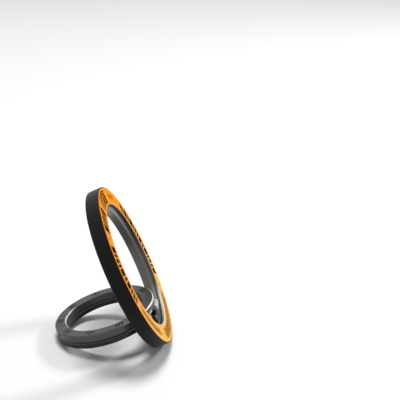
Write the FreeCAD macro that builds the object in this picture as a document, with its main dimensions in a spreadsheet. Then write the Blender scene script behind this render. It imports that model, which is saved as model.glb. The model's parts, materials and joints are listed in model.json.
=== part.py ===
import FreeCAD, Part
import math
import os
import re

import Sketcher

# Magnetic phone ring holder: a channel ring of magnets, a rotor that turns in
# its opening, and two flat finger rings that unfold one from the other.
#
# Every piece is drawn in one folded frame, in millimetres: the base's axis is Z,
# the printed face lies at Z = 0 with the phone side below it, the first hinge is
# on the +X side, the second on the -X side, and both pins run along Y. The
# pieces are then placed as the holder stands: leaning back on the base's rim,
# with the finger rings swung out behind it as the second foot.

SIZES = {
    # Base housing, a channel that is open to the printed face
    "base_radius": 28.5,
    "housing_depth": 4.8,
    "base_round": 0.5,
    "face_bevel": 0.25,
    "outer_wall": 1.3,
    "collar_wall": 0.75,
    "channel_back": 0.4,
    "back_lip_thickness": 0.65,
    # Printed face plate
    "face_edge": 0.4,
    "face_thickness": 0.4,
    # Anti-slip pad let into the phone side
    "pad_edge": 0.8,
    "pad_recess": 0.3,
    "pad_thickness": 0.5,
    # Ring that keeps the rotor in, with its lip round the opening
    "retainer_seat": 0.3,
    "retainer_thickness": 0.3,
    "lip_step": 0.05,
    "lip_width": 0.32,
    "lip_bevel": 0.12,
    # Magnets, yoke and bonding ring in the channel
    "magnet_count": 16,
    "magnet_spacing": 1.5,
    "yoke_thickness": 0.6,
    "bond_thickness": 0.1,
    # Rotor and the washers that it turns between
    "band_width": 7.0,
    "rotor_wall": 0.8,
    "rotor_flange": 0.67,
    "rotor_step": 0.4,
    "rotor_land": 0.55,
    "rotor_bevel": 0.6,
    "rotor_edge": 0.15,
    "rotor_inset": 0.2,
    "glide_thickness": 0.2,
    # Finger rings
    "ring_radius": 17.5,
    "ring_width": 3.95,
    "ring_bevel": 0.3,
    "ring_rise": 1.8,
    "ring_one_thickness": 1.95,
    "ring_two_thickness": 2.7,
    "ring_spacing": 0.2,
    # First hinge: ring one's knuckle between two ears on the rotor
    "hinge_one_inset": 0.9,
    "hinge_one_below": 0.5,
    "knuckle_radius": 1.6,
    "knuckle_half": 2.8,
    "tongue_root": 0.5,
    "ear_half": 4.8,
    "ear_round": 0.8,
    "arm_top": 0.3,
    "arm_thickness": 1.1,
    "arm_bite": 0.6,
    # Second hinge: ring one's stud between two ears on ring two
    "hinge_two_inset": 2.0,
    "hinge_two_below": 1.3,
    "stud_half": 3.5,
    "ear_two_radius": 1.7,
    # Pins and their washers
    "pin_radius": 0.5,
    "pin_recess": 0.2,
    "pin_skin": 0.5,
    "shim_thickness": 0.22,
    "shim_radius": 1.2,
    # Fits
    "running_gap": 0.08,
    "pin_gap": 0.05,
    "press_gap": 0.01,
    "seat_gap": 0.02,
    "face_gap": 0.03,
    "lip_gap": 0.1,
    "relief_gap": 0.15,
    # How far the finger rings are swung back from their folded place, in degrees
    "open_angle": 80.5,
    # How far a cut runs past the solid that it trims
    "cut_margin": 1.0,
}

# Radii of the base that follow from its rim and the width of its band
ROTOR_BORE = "(base_radius - band_width)"
ROTOR_NECK = "(" + ROTOR_BORE + " + rotor_wall)"
ROTOR_FLANGE = "(" + ROTOR_NECK + " + rotor_flange)"
ROTOR_MOUTH = "(" + ROTOR_BORE + " + rotor_step)"
BACK_LIP_BORE = "(" + ROTOR_NECK + " + lip_gap)"
COLLAR_BORE = "(" + ROTOR_FLANGE + " + running_gap)"
CHANNEL_BORE = "(" + COLLAR_BORE + " + collar_wall)"
CHANNEL_RADIUS = "(base_radius - outer_wall)"
LIP_BORE = "(" + ROTOR_MOUTH + " + lip_step)"
FACE_BORE = "(" + LIP_BORE + " + lip_width)"
FACE_RADIUS = "(base_radius - face_edge)"
PAD_BORE = "(" + BACK_LIP_BORE + " + pad_edge)"
PAD_RADIUS = "(base_radius - pad_edge)"
RETAINER_RADIUS = "(" + CHANNEL_BORE + " + retainer_seat)"
YOKE_BORE = "(" + RETAINER_RADIUS + " + relief_gap)"
ARM_REACH = "(" + ROTOR_BORE + " + arm_bite)"
ARM_HALF = "(ear_half - ear_round)"

# The finger rings' opening, and how far from the base's axis their pins lie
RING_BORE = "(ring_radius - ring_width)"
PIN_ONE_REACH = "(ring_radius - hinge_one_inset)"
PIN_TWO_REACH = "(ring_radius - hinge_two_inset)"

# Levels and reaches that several pieces share, as depths below the printed face
CHANNEL_FLOOR = "(housing_depth - pad_recess - channel_back)"
BACK_LIP_TOP = "(housing_depth - back_lip_thickness)"
ROTOR_DEPTH = "(housing_depth - rotor_inset)"
YOKE_TOP = "(face_thickness + bond_thickness)"
MAGNET_TOP = "(face_thickness + bond_thickness + yoke_thickness)"
RETAINER_BACK = "(face_thickness + retainer_thickness)"
ROTOR_FACE = "(face_thickness + retainer_thickness + glide_thickness + face_gap)"
FLANGE_BACK = "(housing_depth - back_lip_thickness - glide_thickness - face_gap)"
RING_TWO_TOP = "(0 - ring_rise)"
RING_TWO_BACK = "(ring_two_thickness - ring_rise)"
RING_ONE_TOP = "(" + RING_TWO_BACK + " + ring_spacing)"
RING_ONE_BACK = "(" + RING_ONE_TOP + " + ring_one_thickness)"
PIN_ONE_DEPTH = "(" + RING_ONE_TOP + " + hinge_one_below)"
PIN_TWO_DEPTH = "(hinge_two_below - ring_rise)"
ARM_TOP = "(" + PIN_ONE_DEPTH + " + arm_top)"
ARM_BACK = "(" + ARM_TOP + " + arm_thickness)"

# Room that the hinges need, across and along their pins
KNUCKLE_ROOM = "(knuckle_radius + relief_gap)"
EAR_ONE_INNER = "(knuckle_half + shim_thickness + 2 * face_gap)"
EAR_TWO_INNER = "(stud_half + shim_thickness + 2 * face_gap)"
EAR_TWO_SWEEP = (
    "(sqrt((sqrt(ring_radius ^ 2 - " + EAR_TWO_INNER + " ^ 2) - " + PIN_TWO_REACH + ") ^ 2"
    " + (hinge_two_below - ring_bevel) ^ 2) + relief_gap)"
)

ALIASES = re.compile(r"\b(" + "|".join(SIZES) + r")\b")
ROUGH_RADIUS = 10.0
TOLERANCE = 1e-4

doc = FreeCAD.newDocument("phone_ring_holder")
sheet = doc.addObject("Spreadsheet::Sheet", "Sizes")
for row, (alias, value) in enumerate(SIZES.items(), start=1):
    sheet.set("A%d" % row, alias.replace("_", " "))
    sheet.set("B%d" % row, str(value))
    sheet.setAlias("B%d" % row, alias)
doc.recompute()

pieces = []


def bound(text):
    """The sheet's expression for a length written with the sheet's aliases."""
    return ALIASES.sub(r"Sizes.\1", text)


def new_piece(label):
    body = doc.addObject("PartDesign::Body", label)
    body.Label = label
    pieces.append(body)
    return body


def side_sketch(body, name, offset="0"):
    """A sketch in the piece's XZ plane, moved towards -Y by the offset."""
    sketch = body.newObject("Sketcher::SketchObject", name)
    plane = next(item for item in body.Origin.OriginFeatures if item.Role == "XZ_Plane")
    sketch.AttachmentSupport = [(plane, "")]
    sketch.MapMode = "FlatFace"
    sketch.setExpression("AttachmentOffset.Base.z", bound(offset))
    return sketch


def constrain(sketch, kind, place, text):
    index = sketch.addConstraint(Sketcher.Constraint(kind, *place, ROUGH_RADIUS))
    sketch.setExpression("Constraints[%d]" % index, bound(text))


def outline(body, name, corners):
    """A closed outline in the XZ plane through corners given as expressions."""
    sketch = side_sketch(body, name)
    count = len(corners)
    rough = [
        FreeCAD.Vector(
            ROUGH_RADIUS * math.cos(2 * math.pi * index / count),
            ROUGH_RADIUS * math.sin(2 * math.pi * index / count),
            0,
        )
        for index in range(count)
    ]
    for index in range(count):
        sketch.addGeometry(Part.LineSegment(rough[index], rough[(index + 1) % count]), False)
    for index in range(count):
        sketch.addConstraint(Sketcher.Constraint("Coincident", index, 2, (index + 1) % count, 1))
    for index, (across, up) in enumerate(corners):
        constrain(sketch, "DistanceX", (index, 1), across)
        constrain(sketch, "DistanceY", (index, 1), up)
    return sketch


def circles(body, name, across, up, radii, offset="0"):
    """Circles about one centre in the XZ plane."""
    sketch = side_sketch(body, name, offset)
    for index, radius in enumerate(radii):
        middle = FreeCAD.Vector(ROUGH_RADIUS, 0, 0)
        sketch.addGeometry(Part.Circle(middle, FreeCAD.Vector(0, 0, 1), 1.0 + index), False)
        constrain(sketch, "DistanceX", (index, 3), across)
        constrain(sketch, "DistanceY", (index, 3), up)
        constrain(sketch, "Radius", (index,), radius)
    return sketch


def box_outline(body, name, left, right, low, high):
    return outline(body, name, [(left, low), (right, low), (right, high), (left, high)])


def turned(body, kind, name, corners, angle="360"):
    """A Revolution or Groove of an outline about the base's axis."""
    sketch = outline(body, name + "_outline", corners)
    feature = body.newObject("PartDesign::" + kind, name)
    feature.Profile = sketch
    feature.ReferenceAxis = (sketch, ["V_Axis"])
    feature.setExpression("Angle", bound(angle))
    return feature


def slab(body, kind, name, sketch, half):
    """A Pad or Pocket of a sketch to the same reach on both sides of it."""
    feature = body.newObject("PartDesign::" + kind, name)
    feature.Profile = sketch
    feature.SideType = "Symmetric"
    feature.setExpression("Length", bound("2 * (" + half + ")"))
    return feature


def rounded(body, name, test, radius):
    """A Fillet of the edges of the piece so far that pass the test."""
    doc.recompute()
    base = body.Tip
    names = [
        "Edge%d" % number for number, edge in enumerate(base.Shape.Edges, start=1) if test(edge)
    ]
    feature = body.newObject("PartDesign::Fillet", name)
    feature.Base = (base, names)
    feature.setExpression("Radius", bound(radius))
    return feature


def is_circle(edge, radius):
    return isinstance(edge.Curve, Part.Circle) and abs(edge.Curve.Radius - radius) < TOLERANCE


def make_housing():
    body = new_piece("base_housing")
    turned(body, "Revolution", "channel", [
        (BACK_LIP_BORE, "-housing_depth"),
        (PAD_BORE, "-housing_depth"),
        (PAD_BORE, "pad_recess - housing_depth"),
        (PAD_RADIUS, "pad_recess - housing_depth"),
        (PAD_RADIUS, "-housing_depth"),
        ("base_radius", "-housing_depth"),
        ("base_radius", "-face_bevel"),
        ("base_radius - face_bevel", "0"),
        (FACE_RADIUS + " + seat_gap", "0"),
        (FACE_RADIUS + " + seat_gap", "-face_thickness"),
        (CHANNEL_RADIUS, "-face_thickness"),
        (CHANNEL_RADIUS, "-" + CHANNEL_FLOOR),
        (CHANNEL_BORE, "-" + CHANNEL_FLOOR),
        (CHANNEL_BORE, "-" + RETAINER_BACK),
        (COLLAR_BORE, "-" + RETAINER_BACK),
        (COLLAR_BORE, "-" + BACK_LIP_TOP),
        (BACK_LIP_BORE, "-" + BACK_LIP_TOP),
    ])
    depth = float(sheet.housing_depth)
    radius = float(sheet.base_radius)
    rounded(
        body,
        "back_rim",
        lambda edge: is_circle(edge, radius) and abs(edge.Curve.Center.z + depth) < TOLERANCE,
        "base_round",
    )


def make_flat_ring(label, bore, radius, top, thickness):
    """A plain annulus whose top lies at a depth below the printed face."""
    turned(new_piece(label), "Revolution", "annulus", [
        (bore, "-(" + top + " + " + thickness + ")"),
        (radius, "-(" + top + " + " + thickness + ")"),
        (radius, "-" + top),
        (bore, "-" + top),
    ])


def make_retaining_ring():
    turned(new_piece("retaining_ring"), "Revolution", "lipped_ring", [
        (LIP_BORE, "-" + RETAINER_BACK),
        (RETAINER_RADIUS, "-" + RETAINER_BACK),
        (RETAINER_RADIUS, "-face_thickness"),
        (FACE_BORE + " - seat_gap", "-face_thickness"),
        (FACE_BORE + " - seat_gap", "0"),
        (LIP_BORE + " + lip_bevel", "0"),
        (LIP_BORE, "-lip_bevel"),
    ])


def make_magnet(number):
    magnet = new_piece("magnet_%02d" % number)
    turned(magnet, "Revolution", "arc", [
        (CHANNEL_BORE + " + relief_gap", "-" + CHANNEL_FLOOR),
        (CHANNEL_RADIUS + " - relief_gap", "-" + CHANNEL_FLOOR),
        (CHANNEL_RADIUS + " - relief_gap", "-" + MAGNET_TOP),
        (CHANNEL_BORE + " + relief_gap", "-" + MAGNET_TOP),
    ], "360 / magnet_count - magnet_spacing")


def make_rotor():
    body = new_piece("rotor_ring")
    turned(body, "Revolution", "flanged_ring", [
        (ROTOR_BORE + " + rotor_edge", "-" + ROTOR_DEPTH),
        (ROTOR_NECK, "-" + ROTOR_DEPTH),
        (ROTOR_NECK, "-" + FLANGE_BACK),
        (ROTOR_FLANGE, "-" + FLANGE_BACK),
        (ROTOR_FLANGE, "-" + ROTOR_FACE),
        (ROTOR_MOUTH, "-" + ROTOR_FACE),
        (ROTOR_MOUTH, "-(" + ROTOR_FACE + " + rotor_land)"),
        (ROTOR_BORE, "-(" + ROTOR_FACE + " + rotor_land + rotor_bevel)"),
        (ROTOR_BORE, "rotor_edge - " + ROTOR_DEPTH),
    ])
    seat = box_outline(
        body,
        "arm_seat_outline",
        ROTOR_BORE + " - cut_margin",
        ARM_REACH + " + seat_gap",
        "-(" + ARM_BACK + " + seat_gap)",
        "-(" + ARM_TOP + " - seat_gap)",
    )
    slab(body, "Pocket", "arm_seat", seat, ARM_HALF + " + seat_gap")


def make_hinge_block():
    """The rotor's two domed ears, with the plate that carries them."""
    body = new_piece("hinge_block")
    barrel = circles(
        body, "barrel_outline", PIN_ONE_REACH, "-" + PIN_ONE_DEPTH, ["knuckle_radius"]
    )
    slab(body, "Pad", "barrel", barrel, "ear_half")
    radius = float(sheet.knuckle_radius)
    rounded(body, "ear_domes", lambda edge: is_circle(edge, radius), "ear_round")
    plate = box_outline(
        body, "plate_outline", PIN_ONE_REACH, ARM_REACH, "-" + ARM_BACK, "-" + ARM_TOP
    )
    slab(body, "Pad", "plate", plate, ARM_HALF)
    gap = box_outline(
        body,
        "knuckle_gap_outline",
        PIN_ONE_REACH + " - " + KNUCKLE_ROOM,
        PIN_ONE_REACH + " + " + KNUCKLE_ROOM,
        "-(" + PIN_ONE_DEPTH + " + " + KNUCKLE_ROOM + ")",
        KNUCKLE_ROOM + " - " + PIN_ONE_DEPTH,
    )
    slab(body, "Pocket", "knuckle_gap", gap, EAR_ONE_INNER)
    bore = circles(
        body,
        "pin_bore_outline",
        PIN_ONE_REACH,
        "-" + PIN_ONE_DEPTH,
        ["pin_radius + press_gap"],
        "ear_half - pin_skin",
    )
    pocket = body.newObject("PartDesign::Pocket", "pin_bore")
    pocket.Profile = bore
    pocket.setExpression("Length", bound("2 * ear_half"))


def ring_section(top, back):
    """A finger ring's bevelled section."""
    return [
        (RING_BORE + " + ring_bevel", "-" + back),
        ("ring_radius - ring_bevel", "-" + back),
        ("ring_radius", "ring_bevel - " + back),
        ("ring_radius", "-(" + top + " + ring_bevel)"),
        ("ring_radius - ring_bevel", "-" + top),
        (RING_BORE + " + ring_bevel", "-" + top),
        (RING_BORE, "-(" + top + " + ring_bevel)"),
        (RING_BORE, "ring_bevel - " + back),
    ]


def trim_to_ring(body, top, back):
    """Cut what stands past a bevelled ring's outer wall and into its opening."""
    above = "cut_margin - " + top
    below = "-(cut_margin + " + back + ")"
    shoulders = ["-(" + top + " + ring_bevel)", "ring_bevel - " + back]
    outer_slope = "ring_radius - ring_bevel - cut_margin"
    inner_slope = RING_BORE + " + ring_bevel + cut_margin"
    for name, wall, slope, away in (
        ("trim_outside", "ring_radius", outer_slope, "2 * ring_radius"),
        ("trim_inside", RING_BORE, inner_slope, RING_BORE + " / 2"),
    ):
        turned(body, "Groove", name, [
            (slope, above),
            (wall, shoulders[0]),
            (wall, shoulders[1]),
            (slope, below),
            (away, below),
            (away, above),
        ])


def pin_bore(body, name, across, depth, gap):
    bore = circles(body, name + "_outline", across, "-" + depth, ["pin_radius + " + gap])
    slab(body, "Pocket", name, bore, "ring_radius")


def make_ring_one():
    """The ring on the rotor: a knuckle at one end, the stud at the other."""
    body = new_piece("finger_ring_one")
    turned(body, "Revolution", "ring", ring_section(RING_ONE_TOP, RING_ONE_BACK))
    trough = circles(
        body, "trough_outline", "-" + PIN_TWO_REACH, "-" + PIN_TWO_DEPTH, [EAR_TWO_SWEEP]
    )
    slab(body, "Pocket", "trough", trough, "ring_radius")
    stud = box_outline(
        body,
        "stud_outline",
        "-(ring_radius + cut_margin)",
        "-(" + RING_BORE + " - cut_margin)",
        "-" + RING_ONE_BACK,
        "ring_rise",
    )
    slab(body, "Pad", "stud", stud, "stud_half")
    trim_to_ring(body, RING_TWO_TOP, RING_ONE_BACK)
    ear_room = box_outline(
        body,
        "ear_room_outline",
        PIN_ONE_REACH + " - " + KNUCKLE_ROOM,
        "ring_radius + cut_margin",
        "-(" + RING_ONE_BACK + " + cut_margin)",
        "ring_rise",
    )
    slab(body, "Pocket", "ear_room", ear_room, "ring_radius")
    tongue = box_outline(
        body,
        "tongue_outline",
        PIN_ONE_REACH + " - " + KNUCKLE_ROOM + " - tongue_root",
        PIN_ONE_REACH,
        "-" + RING_ONE_BACK,
        "-" + RING_ONE_TOP,
    )
    slab(body, "Pad", "tongue", tongue, "knuckle_half")
    knuckle = circles(
        body, "knuckle_outline", PIN_ONE_REACH, "-" + PIN_ONE_DEPTH, ["knuckle_radius"]
    )
    slab(body, "Pad", "knuckle", knuckle, "knuckle_half")
    pin_bore(body, "pin_one_bore", PIN_ONE_REACH, PIN_ONE_DEPTH, "pin_gap")
    pin_bore(body, "pin_two_bore", "-" + PIN_TWO_REACH, PIN_TWO_DEPTH, "pin_gap")


def make_ring_two():
    """The ring on top: open round ring one's stud, hollowed over the first hinge."""
    body = new_piece("finger_ring_two")
    turned(body, "Revolution", "ring", ring_section(RING_TWO_TOP, RING_TWO_BACK))
    ears = circles(
        body, "ears_outline", "-" + PIN_TWO_REACH, "-" + PIN_TWO_DEPTH, ["ear_two_radius"]
    )
    slab(body, "Pad", "ears", ears, "ring_radius")
    over_top = box_outline(
        body,
        "over_top_outline",
        "-(ring_radius + cut_margin)",
        "ear_two_radius + cut_margin - " + PIN_TWO_REACH,
        "ring_rise",
        "ring_rise + ear_two_radius",
    )
    slab(body, "Pocket", "over_top", over_top, "ring_radius")
    trim_to_ring(body, RING_TWO_TOP, RING_ONE_BACK)
    gap = box_outline(
        body,
        "stud_gap_outline",
        "-(ring_radius + cut_margin)",
        "cut_margin - sqrt(" + RING_BORE + " ^ 2 - " + EAR_TWO_INNER + " ^ 2)",
        "-" + RING_ONE_BACK,
        "ring_rise + cut_margin",
    )
    slab(body, "Pocket", "stud_gap", gap, EAR_TWO_INNER)
    hollow = circles(
        body, "hollow_outline", PIN_ONE_REACH, "-" + PIN_ONE_DEPTH, [KNUCKLE_ROOM]
    )
    slab(body, "Pocket", "knuckle_hollow", hollow, "ear_half + relief_gap")
    pin_bore(body, "pin_two_bore", "-" + PIN_TWO_REACH, PIN_TWO_DEPTH, "press_gap")


def make_pin(label, across, depth, half):
    body = new_piece(label)
    shank = circles(body, "shank_outline", across, "-" + depth, ["pin_radius"])
    slab(body, "Pad", "shank", shank, half)


def make_shim(label, across, depth, start):
    """A hinge washer whose face towards -Y lies further out than its start."""
    body = new_piece(label)
    radii = ["pin_radius + pin_gap", "shim_radius"]
    ring = circles(body, "shim_outline", across, "-" + depth, radii, start)
    feature = body.newObject("PartDesign::Pad", "shim")
    feature.Profile = ring
    feature.setExpression("Length", bound("shim_thickness"))


def make_shims(name, across, depth, half):
    near = half + " + face_gap"
    far = "-(" + half + " + face_gap + shim_thickness)"
    make_shim("hinge_washer_" + name + "_near", across, depth, near)
    make_shim("hinge_washer_" + name + "_far", across, depth, far)


def turn_about_y(degrees, across=0.0, up=0.0):
    """A turn about a line along Y through a point of the XZ plane."""
    turn = FreeCAD.Rotation(FreeCAD.Vector(0, 1, 0), degrees)
    return FreeCAD.Placement(FreeCAD.Vector(), turn, FreeCAD.Vector(across, 0, up))


def standing_poses():
    """Placements of the base's and the rings' pieces as the holder stands.

    It stands on the round of the base's back rim and on the back edge of ring
    one's far end, so the floor is the line that touches both in side view.
    """
    ring_one_top = float(sheet.ring_two_thickness + sheet.ring_spacing - sheet.ring_rise)
    pin_reach = float(sheet.ring_radius - sheet.hinge_one_inset)
    pin_depth = ring_one_top + float(sheet.hinge_one_below)
    swing = turn_about_y(-float(sheet.open_angle), pin_reach, -pin_depth)
    rim_round = float(sheet.base_round)
    rim = FreeCAD.Vector(
        float(sheet.base_radius) - rim_round, 0, rim_round - float(sheet.housing_depth)
    )
    ring_back = ring_one_top + float(sheet.ring_one_thickness)
    far_edge = swing.multVec(
        FreeCAD.Vector(float(sheet.ring_bevel - sheet.ring_radius), 0, -ring_back)
    )
    span = far_edge - rim
    down_angle = math.atan2(span.z, span.x) + math.acos(rim_round / span.Length)
    down = FreeCAD.Vector(math.cos(down_angle), 0, math.sin(down_angle))
    lean = turn_about_y(math.degrees(math.atan2(down.x, -down.z)))
    height = down.dot(far_edge)
    return lean, lean.multiply(swing), height


for number in range(1, int(sheet.magnet_count) + 1):
    make_magnet(number)
make_housing()
make_flat_ring("phone_pad", PAD_BORE + " + seat_gap", PAD_RADIUS + " - seat_gap",
               "(housing_depth - pad_recess)", "pad_thickness")
make_flat_ring("shunt_ring", YOKE_BORE, CHANNEL_RADIUS + " - relief_gap",
               YOKE_TOP, "yoke_thickness")
make_flat_ring("face_adhesive", YOKE_BORE, CHANNEL_RADIUS + " - relief_gap",
               "face_thickness", "bond_thickness")
make_flat_ring("face_plate", FACE_BORE, FACE_RADIUS, "0", "face_thickness")
make_retaining_ring()
make_flat_ring("glide_washer_front", LIP_BORE + " + relief_gap", ROTOR_FLANGE,
               RETAINER_BACK, "glide_thickness")
make_flat_ring("glide_washer_rear", BACK_LIP_BORE + " + running_gap", ROTOR_FLANGE,
               "(" + BACK_LIP_TOP + " - glide_thickness)", "glide_thickness")
make_rotor()
make_hinge_block()
make_ring_one()
make_pin("hinge_pin_one", PIN_ONE_REACH, PIN_ONE_DEPTH, "ear_half - pin_skin - seat_gap")
make_shims("one", PIN_ONE_REACH, PIN_ONE_DEPTH, "knuckle_half")
make_ring_two()
make_pin("hinge_pin_two", "-" + PIN_TWO_REACH, PIN_TWO_DEPTH,
         "sqrt(ring_radius ^ 2 - (" + PIN_TWO_REACH + " + pin_radius) ^ 2) - pin_recess")
make_shims("two", "-" + PIN_TWO_REACH, PIN_TWO_DEPTH, "stud_half")
doc.recompute()

base_pose, ring_pose, height = standing_poses()
magnet_pitch = 360.0 / int(sheet.magnet_count)
for piece in pieces:
    if piece.Label.startswith("magnet_"):
        place = (int(piece.Label[-2:]) - 1) * magnet_pitch + float(sheet.magnet_spacing) / 2
        turn = FreeCAD.Rotation(FreeCAD.Vector(0, 0, 1), place)
        piece.Placement = base_pose.multiply(FreeCAD.Placement(FreeCAD.Vector(), turn))
    elif "_one" in piece.Label or "_two" in piece.Label:
        piece.Placement = ring_pose
    else:
        piece.Placement = base_pose
doc.recompute()

# The origin is on the floor, under the middle of the whole holder
whole = FreeCAD.BoundBox()
for piece in pieces:
    whole.add(piece.Shape.optimalBoundingBox(False, False))
shift = FreeCAD.Vector(-whole.Center.x, 0, height)
for piece in pieces:
    piece.Placement = FreeCAD.Placement(shift, FreeCAD.Rotation()).multiply(piece.Placement)
doc.recompute()

for item in doc.Objects:
    if "Invalid" in item.State or "Error" in item.State:
        raise RuntimeError("%s did not build: %s" % (item.Name, item.State))
for piece in pieces:
    if piece.Shape.isNull() or not piece.Shape.isValid() or len(piece.Shape.Solids) != 1:
        raise RuntimeError("%s is not one valid solid" % piece.Label)

os.makedirs("parts", exist_ok=True)
for piece in pieces:
    piece.Shape.exportStep(os.path.join("parts", piece.Label + ".step"))
    print("%-26s %9.2f mm3" % (piece.Label, piece.Shape.Volume))
base_frame = base_pose.Rotation
print("lean %.3f degrees, origin shift %s" % (math.degrees(base_frame.Angle), shift))
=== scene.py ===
"""Looks of a round phone ring holder: a printed base, a turning rotor and two folding finger rings."""

import json
import math
from functools import partial
from itertools import cycle

import bmesh
import bpy
from bpy.props import FloatProperty, FloatVectorProperty, PointerProperty
from mathutils import Euler, Matrix, Vector


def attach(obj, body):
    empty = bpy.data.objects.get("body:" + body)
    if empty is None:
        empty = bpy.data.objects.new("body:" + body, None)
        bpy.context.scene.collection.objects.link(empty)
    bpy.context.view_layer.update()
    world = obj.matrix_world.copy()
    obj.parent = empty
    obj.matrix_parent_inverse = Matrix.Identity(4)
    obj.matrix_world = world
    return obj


bl_info = {
    "name": "Phone Ring Holder Looks",
    "version": (1, 0, 0),
    "blender": (4, 5, 0),
    "location": "3D View > Sidebar > Ring Holder",
    "description": "Finishes, printing, etching and a plain studio for a phone ring holder",
    "category": "Object",
}

MM = 0.001

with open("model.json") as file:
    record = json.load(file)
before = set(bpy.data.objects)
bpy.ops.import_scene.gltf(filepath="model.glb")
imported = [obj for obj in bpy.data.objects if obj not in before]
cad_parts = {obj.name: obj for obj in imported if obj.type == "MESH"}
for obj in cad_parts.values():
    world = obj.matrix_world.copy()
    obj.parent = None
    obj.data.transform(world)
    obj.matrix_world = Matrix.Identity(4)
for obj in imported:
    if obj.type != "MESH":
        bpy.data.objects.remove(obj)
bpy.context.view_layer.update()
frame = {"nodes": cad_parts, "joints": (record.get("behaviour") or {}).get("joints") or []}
JOINTS = {joint["name"]: joint for joint in frame["joints"]}
UP = Vector((0, 0, 1))


# Places on the holder, read from the frame


def joint_place(name):
    """Where a joint is, and its axis."""
    joint = JOINTS[name]
    return Vector(joint["pos_m"]), Vector(joint["axis"]).normalized()


def flat_face(node, towards):
    """A point on a node's largest flat face that looks in a direction, and the way it faces."""
    least_facing = 0.7
    flats = {}
    for face in frame["nodes"][node].data.polygons:
        if face.normal.dot(towards) > least_facing:
            reach = face.center.dot(face.normal)
            key = (*(round(c, 2) for c in face.normal), round(reach, 4))
            flats.setdefault(key, []).append(face)
    widest = max(flats.values(), key=lambda faces: sum(face.area for face in faces))
    biggest = max(widest, key=lambda face: face.area)
    return biggest.center.copy(), biggest.normal.copy()


def ring_centre(node, along):
    """The middle of a ring that keeps its full round on the side away from a direction."""
    points = [corner.co for corner in frame["nodes"][node].data.vertices]
    radius = max(point.y for point in points)
    return along * (min(point.dot(along) for point in points) + radius)


def bevel_reach(node, side):
    """How far a finger ring's 45 degree bevel reaches, as height in the stack plus radius times side.

    Side 1 is the outer bevel at the first hinge, and side -1 the inner one at the second.
    """
    offsets = [corner.co - STACK_CENTRE for corner in frame["nodes"][node].data.vertices]
    return max(
        offset.dot(STACK_AXIS) + side * offset.cross(STACK_AXIS).length
        for offset in offsets
        if side * offset.dot(ALONG_STACK) > 0
    )


def drawing_place(centre, point, outward, zero):
    """Matrix that lays a drawing made in X and Y, with Z outwards, on a round face about its centre."""
    z = outward.normalized()
    x = (zero - z * zero.dot(z)).normalized()
    y = z.cross(x)
    place = Matrix((x, y, z)).transposed().to_4x4()
    place.translation = centre + z * (point - centre).dot(z)
    return place


FACE_CENTRE, FACE_AXIS = joint_place("rotor_turn")
HINGE_ONE, PIN_AXIS = joint_place("ring_one_swing")
STACK_AXIS = flat_face("finger_ring_two", UP)[1]
ALONG_STACK = PIN_AXIS.cross(STACK_AXIS).normalized()
STACK_CENTRE = ring_centre("finger_ring_one", ALONG_STACK)


# Settings that a user would change


class RING_PG_studio(bpy.types.PropertyGroup):
    """Camera, floor and lights."""

    camera_offset: FloatVectorProperty(
        name="Camera offset",
        description="From the middle of the printed face to the camera",
        subtype="XYZ",
        unit="LENGTH",
        default=(4.0 * MM, -310.5 * MM, 134.1 * MM),
    )
    camera_heading: FloatProperty(
        name="Heading", description="To the right of +Y", subtype="ANGLE", default=math.radians(3.0)
    )
    camera_pitch: FloatProperty(
        name="Pitch", description="Below the horizon", subtype="ANGLE", default=math.radians(19.56)
    )
    camera_roll: FloatProperty(
        name="Roll",
        description="Turn about the line of sight",
        subtype="ANGLE",
        default=math.radians(3.0),
    )
    lens: FloatProperty(
        name="Lens", description="Focal length for a 36 mm sensor", unit="CAMERA", default=90.0
    )
    floor_size: FloatProperty(
        name="Floor", description="Width of the floor", unit="LENGTH", default=4.0
    )
    floor_colour: FloatVectorProperty(
        name="Floor colour", description="Pale floor", subtype="COLOR", default=(0.92, 0.92, 0.92)
    )
    top_level: FloatProperty(
        name="Top lamp", description="Strength of the lamp overhead", subtype="FACTOR", default=0.68
    )
    side_level: FloatProperty(
        name="Side lamp", description="Strength of the lamp at the right", subtype="FACTOR", default=0.40
    )
    world_level: FloatProperty(
        name="World", description="Strength of the even light", subtype="FACTOR", default=0.26
    )


class RING_PG_colours(bpy.types.PropertyGroup):
    """Colours of the finishes that show."""

    black: FloatVectorProperty(
        name="Black", description="Anodised housing", subtype="COLOR", default=(0.007, 0.007, 0.0075)
    )
    orange: FloatVectorProperty(
        name="Orange", description="Printed face", subtype="COLOR", default=(0.95, 0.335, 0.004)
    )
    # Colour of a painted sheen: the paler orange towards the lower side of the printed face.
    painted_sheen_orange: FloatVectorProperty(
        name="Sheen orange",
        description="Lower side of the printed face",
        subtype="COLOR",
        default=(1.0, 0.52, 0.11),
    )
    ink: FloatVectorProperty(
        name="Ink",
        description="Marks on the printed face",
        subtype="COLOR",
        default=(0.004, 0.0035, 0.003),
    )
    etch: FloatVectorProperty(
        name="Etching",
        description="Marks on the finger rings",
        subtype="COLOR",
        default=(0.004, 0.004, 0.0036),
    )
    gunmetal: FloatVectorProperty(
        name="Gunmetal", description="Finger rings", subtype="COLOR", default=(0.080, 0.081, 0.075)
    )
    rotor: FloatVectorProperty(
        name="Rotor", description="Inner ring", subtype="COLOR", default=(0.100, 0.100, 0.094)
    )
    # Colour of the highlight painted along the lip's lower side; the lip itself is 0.12 of it.
    lip: FloatVectorProperty(
        name="Lip", description="Retaining lip", subtype="COLOR", default=(0.70, 0.70, 0.70)
    )
    knuckle: FloatVectorProperty(
        name="Knuckle",
        description="Polished ears of the hinge block",
        subtype="COLOR",
        default=(0.075, 0.075, 0.076),
    )
    barrel: FloatVectorProperty(
        name="Barrel",
        description="Polished knuckle of the first finger ring",
        subtype="COLOR",
        default=(0.50, 0.50, 0.51),
    )
    # Colour of the highlight painted on the finger rings' bevels, only on one side of each ring.
    cut: FloatVectorProperty(
        name="Cut bevel",
        description="Bright bevels of the finger rings",
        subtype="COLOR",
        default=(0.60, 0.60, 0.59),
    )


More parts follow.
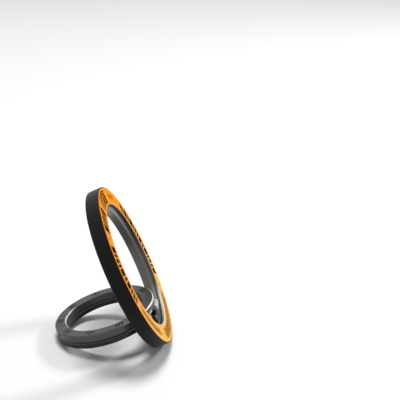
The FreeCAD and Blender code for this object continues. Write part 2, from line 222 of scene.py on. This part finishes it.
class RING_PG_print(bpy.types.PropertyGroup):
    """Sizes of the printed and etched marks."""

    ink_height: FloatProperty(
        name="Ink height",
        description="How far a mark stands off its face",
        unit="LENGTH",
        default=0.008 * MM,
    )
    bar_inner: FloatProperty(
        name="Bar inner radius", description="Inner end of the bars", unit="LENGTH", default=23.3 * MM
    )
    bar_outer: FloatProperty(
        name="Bar outer radius", description="Outer end of the bars", unit="LENGTH", default=27.1 * MM
    )
    mark_radius: FloatProperty(
        name="Mark radius",
        description="Circle that the etched marks lie on",
        unit="LENGTH",
        default=15.55 * MM,
    )


def settings(group):
    """The scene's own values of a group."""
    return getattr(bpy.context.scene, group)


# Finishes


class Field:
    """A value that changes over a surface. Arithmetic on it adds Math nodes."""

    def __init__(self, finish, socket):
        self.finish, self.socket = finish, socket

    def math(self, operation, *values):
        inputs = dict(enumerate(values))
        return self.finish.node("ShaderNodeMath", {"operation": operation}, inputs)

    def __add__(self, other):
        return self.math("ADD", self, other)

    def __sub__(self, other):
        return self.math("SUBTRACT", self, other)

    def __rsub__(self, other):
        return self.math("SUBTRACT", other, self)

    def __mul__(self, other):
        return self.math("MULTIPLY", self, other)

    __radd__, __rmul__ = __add__, __mul__


class Finish:
    """A material in the making. Its node method adds every node."""

    def __init__(self, name, colour, roughness, metallic=0.0, **fixed):
        self.material = bpy.data.materials.new(name)
        self.material.use_nodes = True
        self.tree = self.material.node_tree
        self.shader = self.tree.nodes["Principled BSDF"]
        self.set(Roughness=roughness, Metallic=metallic, **fixed)
        self.shader.inputs["Base Color"].default_value = (*colour, 1)

    def set(self, **values):
        """Sets or links sockets of the shader; an underscore stands for a space."""
        for name, value in values.items():
            self.give(self.shader.inputs[name.replace("_", " ")], value)

    def give(self, socket, value):
        if isinstance(value, Field):
            self.tree.links.new(value.socket, socket)
        else:
            socket.default_value = value

    def node(self, kind, options=None, inputs=None, output=0):
        """Adds a node, with its options set first and then its inputs, and gives one output."""
        made = self.tree.nodes.new(kind)
        for name, value in (options or {}).items():
            setattr(made, name, value)
        for name, value in (inputs or {}).items():
            self.give(made.inputs[name], value)
        return Field(self, made.outputs[output])

    def vector(self, operation, *values, output="Vector"):
        inputs = dict(enumerate(values))
        return self.node("ShaderNodeVectorMath", {"operation": operation}, inputs, output)

    def place(self):
        return self.node("ShaderNodeTexCoord", output="Object")

    def noise(self, size, place=None, detail=2.0):
        """Even noise from 0 to 1 with features of that size, in metres."""
        inputs = {"Vector": place or self.place(), "Scale": 1 / size, "Detail": detail}
        return self.node("ShaderNodeTexNoise", inputs=inputs)

    def reach(self, axis):
        """Distance along an axis from the origin, in metres."""
        return self.vector("DOT_PRODUCT", self.place(), tuple(axis), output="Value")

    def along(self, centre, axis):
        """Distance along an axis from a centre, in metres."""
        return self.reach(axis) - centre.dot(axis)

    def radius(self, centre, axis):
        """Distance from an axis, in metres."""
        offset = self.vector("SUBTRACT", self.place(), tuple(centre))
        across = self.vector("CROSS_PRODUCT", offset, tuple(axis))
        return self.vector("LENGTH", across, output="Value")

    def turned(self, centre, axis, pitch):
        """Lines of a lathe cut about an axis, as noise from 0 to 1."""
        inputs = {0: self.radius(centre, axis), 1: self.along(centre, axis)}
        lines = self.node("ShaderNodeCombineXYZ", inputs=inputs)
        return self.noise(pitch, lines, detail=3.0)

    def ramp(self, value, start, end):
        """Goes smoothly from 0 at start to 1 at end."""
        options = {"interpolation_type": "SMOOTHSTEP"}
        inputs = {"Value": value, "From Min": start, "From Max": end}
        return self.node("ShaderNodeMapRange", options, inputs)

    def mix(self, amount, dark, light):
        """Colour that goes from dark at amount 0 to light at 1."""
        dark, light = (c if isinstance(c, Field) else (*c, 1) for c in (dark, light))
        inputs = {"Factor": amount, 6: dark, 7: light}
        return self.node("ShaderNodeMix", {"data_type": "RGBA"}, inputs, output=2)

    def tint(self, amount, dark, light):
        self.set(Base_Color=self.mix(amount, dark, light))

    def bump(self, height, distance):
        inputs = {"Height": height, "Distance": distance, "Strength": 1.0}
        self.set(Normal=self.node("ShaderNodeBump", inputs=inputs))


def shade(colour, factor):
    """The same colour, darker or brighter by a factor."""
    return tuple(c * factor for c in colour)


def blast(finish, centre, axis):
    """Bumps of a blasted face over faint lathe lines. Gives its mottle, from 0 to 1."""
    lines = finish.turned(centre, axis, 0.15 * MM)
    grain = finish.noise(0.07 * MM)
    finish.bump(grain * 0.7 + lines * 0.3, 0.004 * MM)
    return grain * 0.5 + lines * 0.2 + finish.noise(3 * MM) * 0.3


def round_knuckle(finish):
    """1 on the round of the first hinge's knuckle and ears, and 0 farther from its pin."""
    outside, inside = 1.68 * MM, 1.62 * MM
    return finish.ramp(finish.radius(HINGE_ONE, PIN_AXIS), outside, inside)


def painted_bevel_highlight(finish, node, side, start, end):
    """1 on the upper bevel of a finger ring where a highlight is painted, fading in from start to end
    along the stack.

    Side 1 is the outer bevel, and side -1 the inner one.
    """
    height = finish.along(STACK_CENTRE, STACK_AXIS)
    radius = finish.radius(STACK_CENTRE, STACK_AXIS)
    edge = bevel_reach(node, side)
    bevel = finish.ramp(height + radius * side, edge - 0.10 * MM, edge - 0.03 * MM)
    return bevel * finish.ramp(finish.along(STACK_CENTRE, ALONG_STACK), start, end)


def black_anodise():
    """Satin black over fine lathe lines."""
    colour = settings("ring_colours").black
    finish = Finish("black_anodise", colour, 0.4, Specular_IOR_Level=0.1)
    lines = finish.turned(FACE_CENTRE, FACE_AXIS, 0.12 * MM)
    grain = finish.noise(0.06 * MM)
    finish.tint(lines, shade(colour, 0.8), shade(colour, 1.35))
    finish.set(Roughness=0.36 + 0.10 * lines + 0.05 * grain)
    finish.bump(lines * 0.6 + grain * 0.4, 0.004 * MM)
    return finish.material


def orange_print():
    """Solid orange ink over a fine blasted face, with a painted sheen that makes its lower side paler.
    """
    colours = settings("ring_colours")
    gloss = {"Specular_IOR_Level": 0.0, "Coat_Weight": 0.06, "Coat_Roughness": 0.3}
    finish = Finish("orange_print", colours.orange, 0.42, **gloss)
    grain = finish.noise(0.09 * MM)
    cloud = finish.noise(6 * MM) * 0.5 + grain * 0.5
    deep = finish.mix(cloud, shade(colours.orange, 0.94), colours.orange)
    # Painted sheen: the face turns paler orange towards its lower side.
    painted_sheen = finish.ramp(finish.along(FACE_CENTRE, UP), 10 * MM, -24 * MM)
    finish.tint(painted_sheen, deep, colours.painted_sheen_orange)
    finish.set(Roughness=0.38 + 0.10 * grain)
    finish.bump(grain, 0.003 * MM)
    return finish.material


def print_ink():
    """Black screen ink with slightly uneven gloss."""
    colour = settings("ring_colours").ink
    gloss = {"Specular_IOR_Level": 0.0, "Coat_Weight": 0.04, "Coat_Roughness": 0.3}
    finish = Finish("print_ink", colour, 0.45, **gloss)
    grain = finish.noise(0.08 * MM)
    finish.tint(grain, shade(colour, 0.7), shade(colour, 1.5))
    finish.set(Roughness=0.38 + 0.14 * grain)
    return finish.material


def rotor_metal():
    """Blasted and plated metal with faint lathe lines, and painted light that makes it lighter towards
    the top.
    """
    colour = settings("ring_colours").rotor
    finish = Finish("rotor_metal", colour, 0.36, metallic=1.0)
    mottle = blast(finish, FACE_CENTRE, FACE_AXIS)
    # Painted light: the rotor's colour grows up to 3.2 times lighter towards the top.
    top = finish.ramp(finish.along(FACE_CENTRE, UP), -2 * MM, 20 * MM)
    finish.tint(mottle * 0.1 + top * 0.9, shade(colour, 0.95), shade(colour, 3.2))
    finish.set(Roughness=0.31 + 0.10 * mottle)
    return finish.material


def ring_gunmetal():
    """Blasted finger rings with painted shade that darkens the first one, painted highlights on one side
    of their bevels, and a polished knuckle.
    """
    colours = settings("ring_colours")
    finish = Finish("ring_gunmetal", colours.gunmetal, 0.42, metallic=1.0)
    mottle = blast(finish, STACK_CENTRE, STACK_AXIS)
    # Painted shade: the first ring, below the second, gets 0.35 of the gunmetal and the second 1.15.
    back = min(c.co.dot(STACK_AXIS) for c in frame["nodes"]["finger_ring_two"].data.vertices)
    upper = finish.ramp(finish.reach(STACK_AXIS), back - 0.3 * MM, back + 0.1 * MM)
    dark, light = shade(colours.gunmetal, 0.35), shade(colours.gunmetal, 1.15)
    blasted = finish.mix(mottle * 0.25 + upper * 0.75, dark, light)
    # Painted highlights on the bevels, fading in along the stack so that only one side is bright.
    outer_highlight = painted_bevel_highlight(finish, "finger_ring_two", 1, 12 * MM, 17 * MM)
    inner_highlight = painted_bevel_highlight(finish, "finger_ring_one", -1, -10.5 * MM, -13.3 * MM)
    knuckle = round_knuckle(finish)
    finish.tint(knuckle, finish.mix(outer_highlight + inner_highlight, blasted, colours.cut), colours.barrel)
    finish.set(Roughness=(0.37 + 0.10 * mottle) * (1 - knuckle) + 0.16 * knuckle)
    return finish.material


def lip_metal():
    """Dark retaining lip with a painted highlight along its lower side."""
    colour = settings("ring_colours").lip
    finish = Finish("lip_metal", colour, 0.26, metallic=1.0)
    grain = finish.noise(0.07 * MM)
    # Painted highlight: the dark lip turns bright towards its lower side.
    painted_highlight = finish.ramp(finish.along(FACE_CENTRE, UP), -13 * MM, -18 * MM)
    finish.tint(painted_highlight, shade(colour, 0.12), colour)
    finish.set(Roughness=0.22 + 0.08 * grain)
    finish.bump(grain, 0.003 * MM)
    return finish.material


def hinge_metal():
    """Black nickel on the ears of the hinge block, and the rotor's own finish on its plate."""
    colours = settings("ring_colours")
    finish = Finish("hinge_metal", colours.knuckle, 0.16, metallic=1.0)
    grain = finish.noise(0.15 * MM)
    ear = round_knuckle(finish)
    finish.tint(ear, colours.rotor, colours.knuckle)
    finish.set(Roughness=0.36 - 0.20 * ear + 0.04 * grain)
    return finish.material


def etched_mark():
    """Dark mark left by a laser."""
    colour = settings("ring_colours").etch
    finish = Finish("etched_mark", colour, 0.7, Specular_IOR_Level=0.05)
    grain = finish.noise(0.05 * MM)
    finish.tint(grain, shade(colour, 0.75), shade(colour, 2.0))
    finish.bump(grain, 0.005 * MM)
    return finish.material


def moulding(name, colour, roughness):
    """Plastic, rubber or bonding film with a fine matt grain."""
    finish = Finish(name, colour, roughness)
    grain = finish.noise(0.12 * MM)
    finish.tint(grain, shade(colour, 0.8), shade(colour, 1.2))
    finish.bump(grain, 0.008 * MM)
    return finish.material


def plain_metal(name, colour, roughness):
    """Plated or ground metal inside the holder."""
    finish = Finish(name, colour, roughness, metallic=1.0)
    grain = finish.noise(0.2 * MM)
    finish.tint(grain, shade(colour, 0.9), shade(colour, 1.1))
    finish.set(Roughness=(roughness - 0.04) + 0.08 * grain)
    return finish.material


def dress(material, *nodes):
    """Gives CAD nodes their finish."""
    for node in nodes:
        mesh = frame["nodes"][node].data
        mesh.materials.clear()
        mesh.materials.append(material)


def nodes_named(start):
    """The CAD nodes whose names start so."""
    return [name for name in frame["nodes"] if name.startswith(start)]


# Flat shapes, drawn about the middle of a round face


def polar(radius, degrees):
    """A point at a radius and an angle."""
    angle = math.radians(degrees)
    return Vector((radius * math.cos(angle), radius * math.sin(angle), 0))


def sector(bm, inner, outer, start, sweep):
    """A flat patch between two radii, swept in steps of at most 1.5 degrees."""
    ends = [bm.verts.new(polar(radius, start)) for radius in (inner, outer)]
    line = bm.edges.new(ends)
    angle, steps = math.radians(sweep), math.ceil(sweep / 1.5)
    bmesh.ops.spin(bm, geom=[*ends, line], cent=(0, 0, 0), axis=UP, angle=angle, steps=steps)


def dot(bm, radius, degrees, size):
    """A flat round dot."""
    place = Matrix.Translation(polar(radius, degrees))
    bmesh.ops.create_circle(bm, cap_ends=True, segments=14, radius=size, matrix=place)


def bar(bm, radius, degrees, length, width, lean=0.0, shift=0.0):
    """A flat straight bar, radial when lean is 0, moved sideways by shift."""
    place = (
        Matrix.Rotation(math.radians(degrees), 4, "Z")
        @ Matrix.Translation((radius, shift, 0))
        @ Matrix.Rotation(math.radians(lean), 4, "Z")
        @ Matrix.Diagonal((length, width, 1, 1))
    )
    bmesh.ops.create_grid(bm, x_segments=1, y_segments=1, size=0.5, matrix=place)


def steady_order(bm):
    """Puts the faces in the order of their corners, because solidify orders them anew each run."""
    bm.verts.index_update()
    faces = sorted(bm.faces, key=lambda face: sorted(corner.index for corner in face.verts))
    ranks = {face: rank for rank, face in enumerate(faces)}
    bm.faces.sort(key=ranks.get)


def flat_piece(name, draw, place, body, material):
    """Makes a thin piece from a flat drawing and lays it on its face."""
    height = settings("ring_print").ink_height
    bm = bmesh.new()
    draw(bm)
    bmesh.ops.remove_doubles(bm, verts=bm.verts[:], dist=0.0001 * MM)
    bm.normal_update()
    bmesh.ops.reverse_faces(bm, faces=[face for face in bm.faces if face.normal.z < 0])
    bmesh.ops.solidify(bm, geom=bm.faces[:], thickness=2 * height)
    lowest = min(corner.co.z for corner in bm.verts)
    sink = Matrix.Translation((0, 0, -lowest - height))
    bmesh.ops.transform(bm, matrix=place @ sink, verts=bm.verts[:])
    bmesh.ops.recalc_face_normals(bm, faces=bm.faces[:])
    steady_order(bm)
    mesh = bpy.data.meshes.new(name)
    bm.to_mesh(mesh)
    bm.free()
    piece = bpy.data.objects.new(name, mesh)
    bpy.context.scene.collection.objects.link(piece)
    mesh.materials.append(material)
    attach(piece, body)


# The printed face, with angles in degrees from its top


def band_middle():
    """Radius half-way up the printed band."""
    sizes = settings("ring_print")
    return (sizes.bar_inner + sizes.bar_outer) / 2


def draw_blocks(bm):
    """Runs of bold bars, every third one cut across near its inner or outer end."""
    sizes = settings("ring_print")
    inner, outer = sizes.bar_inner, sizes.bar_outer
    widths = (5.0, 2.2, 3.4, 2.0, 5.6, 2.8)
    cuts = (0.3, 0.72)
    gap, half_cut = 1.15, 0.24 * MM
    for angle, count in ((16, 5), (51, 10), (236, 15)):
        for index in range(count):
            width = widths[index % len(widths)]
            if index % 3 == 2:
                cut = inner + (outer - inner) * cuts[index % 2]
                sector(bm, inner, cut - half_cut, angle, width)
                sector(bm, cut + half_cut, outer, angle, width)
            else:
                sector(bm, inner, outer, angle, width)
            angle += width + gap


def draw_hatch(bm):
    """Runs of thin slanted lines."""
    length, width = 2.7 * MM, 0.24 * MM
    for first, count, pitch, lean in ((102, 30, 1.3, 24), (322, 8, 1.8, -40)):
        for index in range(count):
            bar(bm, band_middle(), first + index * pitch, length, width, lean)


def draw_net(bm):
    """Thin lines that cross, over the full height of the bars."""
    length, width = 4.3 * MM, 0.2 * MM
    first, count, pitch, lean = 156, 38, 1.65, 32
    for index in range(count):
        for side in (-1, 1):
            bar(bm, band_middle(), first + index * pitch, length, width, side * lean)


def draw_dots(bm):
    """A fan of dots that get smaller towards one end, with every second row set between the others."""
    sizes = settings("ring_print")
    first, columns, pitch, rows = 346, 11, 2.3, 5
    largest, shrink = 0.50 * MM, 0.015 * MM
    rise = (sizes.bar_outer - sizes.bar_inner) / (rows - 1)
    for column in range(columns):
        for row in range(rows):
            angle = first + (column + row % 2 / 2) * pitch
            dot(bm, sizes.bar_inner + row * rise, angle, largest - column * shrink)


def draw_ticks(bm):
    """Single short ticks between the runs."""
    length, width, lean = 1.3 * MM, 0.45 * MM, 50
    for angle in (44, 148, 226, 314):
        bar(bm, band_middle(), angle, length, width, lean)


# The etched marks of the finger rings, with angles in degrees from the first hinge


MARK_LENGTH = 2.2 * MM
MARK_STROKE = 0.5 * MM


def three_bars(bm, radius, angle):
    """Three bars side by side."""
    for shift in (-1.05 * MM, 0, 1.05 * MM):
        bar(bm, radius, angle, MARK_LENGTH, MARK_STROKE, shift=shift)


def twin_chevrons(bm, radius, angle):
    """Two chevrons side by side, each of two arms."""
    arm, rise, lean = 1.4 * MM, 0.5 * MM, 42
    for shift in (-0.8 * MM, 0.8 * MM):
        for end in (-1, 1):
            bar(bm, radius + end * rise, angle, arm, MARK_STROKE, -end * lean, shift)


def dotted_bar(bm, radius, angle):
    """A bar with a dot on each side."""
    size, turn = 0.4 * MM, 4
    bar(bm, radius, angle, MARK_LENGTH, MARK_STROKE)
    for side in (-1, 1):
        dot(bm, radius, angle + side * turn, size)


def draw_etching(bm, angles):
    """Plain marks round a finger ring, of three kinds in turn."""
    radius = settings("ring_print").mark_radius
    for draw, angle in zip(cycle((three_bars, twin_chevrons, dotted_bar)), angles):
        draw(bm, radius, angle)


# The studio


def lay_floor(studio):
    """Matt pale floor."""
    finish = Finish("pale_floor", studio.floor_colour, 0.6, Specular_IOR_Level=0.2)
    mesh = bpy.data.meshes.new("floor")
    bm = bmesh.new()
    bmesh.ops.create_grid(bm, x_segments=1, y_segments=1, size=studio.floor_size / 2)
    bm.to_mesh(mesh)
    bm.free()
    mesh.materials.append(finish.material)
    floor = bpy.data.objects.new("floor", mesh)
    bpy.context.scene.collection.objects.link(floor)
    return floor


def softbox(name, place, aim, size, level):
    """A square lamp that looks at a point. Level 1 there shows a facing colour as it is written."""
    beam = Vector(aim) - Vector(place)
    light = bpy.data.lights.new(name, "AREA")
    light.shape, light.size = "SQUARE", size
    light.energy = level * (math.pi * beam.length) ** 2
    lamp = bpy.data.objects.new(name, light)
    lamp.location = place
    lamp.rotation_euler = beam.to_track_quat("-Z", "Y").to_euler()
    bpy.context.scene.collection.objects.link(lamp)


def make_world(level):
    """Even light, which the camera, reflections and clear surfaces see as white."""
    world = bpy.data.worlds.new("pale_room")
    world.use_nodes = True
    nodes, links = world.node_tree.nodes, world.node_tree.links
    background = nodes["Background"]
    background.inputs["Color"].default_value = (1, 1, 1, 1)
    path = nodes.new("ShaderNodeLightPath")
    seen = path.outputs["Is Camera Ray"]
    for ray in ("Is Glossy Ray", "Is Transmission Ray"):
        either = nodes.new("ShaderNodeMath")
        either.operation = "MAXIMUM"
        links.new(seen, either.inputs[0])
        links.new(path.outputs[ray], either.inputs[1])
        seen = either.outputs[0]
    strength = nodes.new("ShaderNodeMapRange")
    strength.inputs["To Min"].default_value = level
    strength.inputs["To Max"].default_value = 1.0
    links.new(seen, strength.inputs["Value"])
    links.new(strength.outputs[0], background.inputs["Strength"])
    bpy.context.scene.world = world


def place_camera(studio):
    """The camera that sees the holder as it stands."""
    camera = bpy.data.objects.new("camera", bpy.data.cameras.new("camera"))
    camera.data.lens = studio.lens
    camera.data.sensor_width = 36
    camera.data.clip_start = 10 * MM
    camera.location = FACE_CENTRE + Vector(studio.camera_offset)
    look = Euler((math.pi / 2 - studio.camera_pitch, 0, -studio.camera_heading)).to_matrix()
    camera.rotation_euler = (look @ Matrix.Rotation(studio.camera_roll, 3, "Z")).to_euler()
    bpy.context.scene.collection.objects.link(camera)
    bpy.context.scene.camera = camera


# Steps


class RING_OT_base(bpy.types.Operator):
    """Dress the base: black housing, orange face, lip, pad and what lies inside"""

    bl_idname = "ring.base"
    bl_label = "Base"

    def execute(self, context):
        dress(black_anodise(), "base_housing")
        dress(orange_print(), "face_plate")
        dress(lip_metal(), "retaining_ring")
        dress(moulding("pad_rubber", colour=(0.03, 0.03, 0.032), roughness=0.8), "phone_pad")
        washer = moulding("washer_black", colour=(0.012, 0.012, 0.012), roughness=0.55)
        dress(washer, *nodes_named("glide_washer_"))
        dress(plain_metal("yoke_steel", colour=(0.5, 0.5, 0.5), roughness=0.4), "shunt_ring")
        dress(moulding("bond_tape", colour=(0.6, 0.58, 0.5), roughness=0.7), "face_adhesive")
        nickel = plain_metal("magnet_nickel", colour=(0.62, 0.61, 0.58), roughness=0.25)
        dress(nickel, *nodes_named("magnet_"))
        return {"FINISHED"}


class RING_OT_print(bpy.types.Operator):
    """Print the generic marks on the orange face"""

    bl_idname = "ring.face_print"
    bl_label = "Face print"

    def execute(self, context):
        point, outward = flat_face("face_plate", FACE_AXIS)
        place = drawing_place(FACE_CENTRE, point, outward, UP)
        ink = print_ink()
        drawings = {
            "face_blocks": draw_blocks,
            "face_hatch": draw_hatch,
            "face_net": draw_net,
            "face_dots": draw_dots,
            "face_ticks": draw_ticks,
        }
        for name, draw in drawings.items():
            flat_piece(name, draw, place, "base", ink)
        return {"FINISHED"}


class RING_OT_rotor(bpy.types.Operator):
    """Dress the rotor and its hinge block"""

    bl_idname = "ring.rotor"
    bl_label = "Rotor"

    def execute(self, context):
        dress(rotor_metal(), "rotor_ring")
        dress(hinge_metal(), "hinge_block")
        return {"FINISHED"}


class RING_OT_finger_rings(bpy.types.Operator):
    """Dress the finger rings with their pins and washers"""

    bl_idname = "ring.finger_rings"
    bl_label = "Finger rings"

    def execute(self, context):
        dress(ring_gunmetal(), "finger_ring_one", "finger_ring_two")
        pin = plain_metal("pin_steel", colour=(0.12, 0.12, 0.12), roughness=0.3)
        dress(pin, *nodes_named("hinge_pin_"))
        washer = moulding("hinge_washer_black", colour=(0.012, 0.012, 0.012), roughness=0.5)
        dress(washer, *nodes_named("hinge_washer_"))
        return {"FINISHED"}


class RING_OT_etching(bpy.types.Operator):
    """Etch plain marks on both outer sides of the finger rings and on the second hinge's block"""

    bl_idname = "ring.etching"
    bl_label = "Etching"

    def execute(self, context):
        point, outward = flat_face("finger_ring_two", UP)
        top = drawing_place(STACK_CENTRE, point, outward, ALONG_STACK)
        point, outward = flat_face("finger_ring_one", -UP)
        under = drawing_place(STACK_CENTRE, point, outward, ALONG_STACK)
        first, step, count = 30, 37.5, 9
        angles = [first + index * step for index in range(count)]
        block = [180]
        ring = [angle for angle in angles if angle not in block]
        mark = etched_mark()
        for name, place, body, places in (
            ("ring_two_etching", top, "ring_two", ring),
            ("block_etching", top, "ring_one", block),
            ("ring_one_etching", under, "ring_one", angles),
        ):
            draw = partial(draw_etching, angles=places)
            flat_piece(name, draw, place, body, mark)
        return {"FINISHED"}


class RING_OT_stage(bpy.types.Operator):
    """Set up the floor, the lamps, the world and the camera"""

    bl_idname = "ring.stage"
    bl_label = "Stage"

    def execute(self, context):
        studio = settings("ring_studio")
        context.scene.view_settings.view_transform = "Standard"
        floor = lay_floor(studio)
        aim = (0, 0, 20 * MM)
        softbox("top_softbox", (-0.06, 0.12, 1.30), aim, size=0.42, level=studio.top_level)
        softbox("side_softbox", (0.70, 0.42, 0.54), aim, size=0.17, level=studio.side_level)
        make_world(studio.world_level)
        place_camera(studio)
        return {"FINISHED"}


class RING_PT_panel(bpy.types.Panel):
    """Lists the steps and their settings in the sidebar"""

    bl_idname = "RING_PT_panel"
    bl_label = "Ring Holder"
    bl_space_type = "VIEW_3D"
    bl_region_type = "UI"
    bl_category = "Ring Holder"

    def draw(self, context):
        for step in STEPS:
            self.layout.operator(step.bl_idname)
        for group in GROUPS:
            box = self.layout.box()
            for name in GROUPS[group].__annotations__:
                box.prop(settings(group), name)


STEPS = (
    RING_OT_base,
    RING_OT_print,
    RING_OT_rotor,
    RING_OT_finger_rings,
    RING_OT_etching,
    RING_OT_stage,
)
GROUPS = {
    "ring_studio": RING_PG_studio,
    "ring_colours": RING_PG_colours,
    "ring_print": RING_PG_print,
}


def register():
    for cls in (*GROUPS.values(), *STEPS, RING_PT_panel):
        bpy.utils.register_class(cls)
    for name, group in GROUPS.items():
        setattr(bpy.types.Scene, name, PointerProperty(type=group))


def unregister():
    for name in GROUPS:
        delattr(bpy.types.Scene, name)
    for cls in (RING_PT_panel, *reversed(STEPS), *reversed(GROUPS.values())):
        bpy.utils.unregister_class(cls)


def main():
    register()
    bpy.ops.ring.base()
    bpy.ops.ring.face_print()
    bpy.ops.ring.rotor()
    bpy.ops.ring.finger_rings()
    bpy.ops.ring.etching()
    bpy.ops.ring.stage()


if __name__ == "__main__":
    main()
